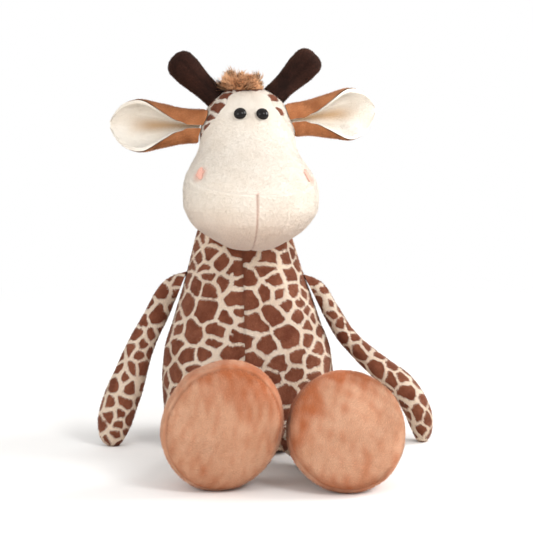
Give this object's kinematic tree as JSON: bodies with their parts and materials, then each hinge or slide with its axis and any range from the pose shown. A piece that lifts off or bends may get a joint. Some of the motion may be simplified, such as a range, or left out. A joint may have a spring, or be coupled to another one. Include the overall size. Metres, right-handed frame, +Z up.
{
  "type": "plush giraffe",
  "caption": "Sitting soft toy giraffe with a long neck, wide muzzle, club horns, folded ears, hanging arms and big round feet stretched forward.",
  "frame": {"origin": "middle of the flat seat, on the surface that the toy sits on", "axes": "+Z up; the giraffe faces -Y; +X is its own left side"},
  "size_m": [0.2704, 0.3119, 0.3146],
  "materials": {
    "spotted_plush": "short pile printed with brown patches on cream",
    "cream_plush": "short cream pile",
    "tan_plush": "short tan pile",
    "sole_plush": "brushed salmon-tan pile with a nap",
    "horn_plush": "dense dark brown pile",
    "hair_plush": "longer tan pile, ruffled",
    "pink_thread": "satin-stitched embroidery thread",
    "seam_thread": "gathered cloth and sewing thread",
    "stuffing": "loose polyester fibre",
    "pellet_bag": "cotton bag of plastic pellets",
    "eye_plastic": "polished black",
    "washer_plastic": "moulded, natural white"
  },
  "bodies": {
    "torso": {"torso_front_left_panel": "spotted_plush", "torso_front_right_panel": "spotted_plush", "torso_back_left_panel": "spotted_plush", "torso_back_right_panel": "spotted_plush", "torso_seat_panel": "spotted_plush", "torso_stuffing": "stuffing", "seat_pellet_bag": "pellet_bag", "neck_mane": "hair_plush"},
    "neck": {"neck_seam_band": "seam_thread"},
    "head": {"face_panel": "cream_plush", "muzzle_left_panel": "cream_plush", "muzzle_right_panel": "cream_plush", "head_back_left_panel": "spotted_plush", "head_back_right_panel": "spotted_plush", "head_stuffing": "stuffing", "forelock": "hair_plush", "head_mane": "hair_plush", "eye_left": "eye_plastic", "eye_washer_left": "washer_plastic", "nostril_left": "pink_thread", "horn_left_cover": "horn_plush", "horn_left_stuffing": "stuffing", "eye_right": "eye_plastic", "eye_washer_right": "washer_plastic", "nostril_right": "pink_thread", "horn_right_cover": "horn_plush", "horn_right_stuffing": "stuffing"},
    "ear_left": {"ear_left_back": "tan_plush", "ear_left_lining": "cream_plush"},
    "ear_right": {"ear_right_back": "tan_plush", "ear_right_lining": "cream_plush"},
    "arm_left": {"arm_left_front_panel": "spotted_plush", "arm_left_back_panel": "spotted_plush", "arm_left_stuffing": "stuffing"},
    "arm_right": {"arm_right_front_panel": "spotted_plush", "arm_right_back_panel": "spotted_plush", "arm_right_stuffing": "stuffing"},
    "leg_left": {"leg_left_top_panel": "spotted_plush", "leg_left_under_panel": "spotted_plush", "leg_left_stuffing": "stuffing", "foot_left_upper": "sole_plush", "foot_left_sole": "sole_plush", "foot_left_stuffing": "stuffing"},
    "leg_right": {"leg_right_top_panel": "spotted_plush", "leg_right_under_panel": "spotted_plush", "leg_right_stuffing": "stuffing", "foot_right_upper": "sole_plush", "foot_right_sole": "sole_plush", "foot_right_stuffing": "stuffing"},
    "tail": {"tail_cover": "spotted_plush", "tail_tuft": "horn_plush"}
  },
  "joints": [
    {"name": "head_turn", "type": "hinge", "parent": "torso", "child": "neck", "pos_m": [-0.004, 0.006, 0.157], "axis": [0, 0, 1], "range_deg": [-30, 30], "stiffness_Nm_per_rad": 0.6},
    {"name": "head_nod", "type": "hinge", "parent": "neck", "child": "head", "pos_m": [-0.004, 0.006, 0.157], "axis": [0.9945, 0.1045, 0], "range_deg": [-16, 8], "stiffness_Nm_per_rad": 1.5},
    {"name": "ear_left_flap", "type": "hinge", "parent": "head", "child": "ear_left", "pos_m": [0.03434, 0.00199, 0.25869], "axis": [-0.0879, -0.041, 0.9953], "range_deg": [-13, 24], "stiffness_Nm_per_rad": 0.02},
    {"name": "ear_right_flap", "type": "hinge", "parent": "head", "child": "ear_right", "pos_m": [-0.03742, -0.00725, 0.25431], "axis": [-0.0088, -0.0055, -0.9999], "range_deg": [-13, 24], "stiffness_Nm_per_rad": 0.02},
    {"name": "shoulder_left", "type": "hinge", "parent": "torso", "child": "arm_left", "pos_m": [0.04696, 0.00365, 0.131], "axis": [-0.9421, 0, -0.3353], "range_deg": [-30, 95]},
    {"name": "shoulder_right", "type": "hinge", "parent": "torso", "child": "arm_right", "pos_m": [-0.05183, 0.00365, 0.131], "axis": [-0.9625, 0, 0.2711], "range_deg": [-30, 95]},
    {"name": "hip_left", "type": "hinge", "parent": "torso", "child": "leg_left", "pos_m": [0.025, -0.05415, 0.02], "axis": [-1, 0, 0], "range_deg": [0, 44]},
    {"name": "hip_right", "type": "hinge", "parent": "torso", "child": "leg_right", "pos_m": [-0.02, -0.05575, 0.02], "axis": [-1, 0, 0], "range_deg": [0, 44]},
    {"name": "tail_lift", "type": "hinge", "parent": "torso", "child": "tail", "pos_m": [0, 0.06445, 0.03], "axis": [1, 0, 0], "range_deg": [0, 80]}
  ]
}
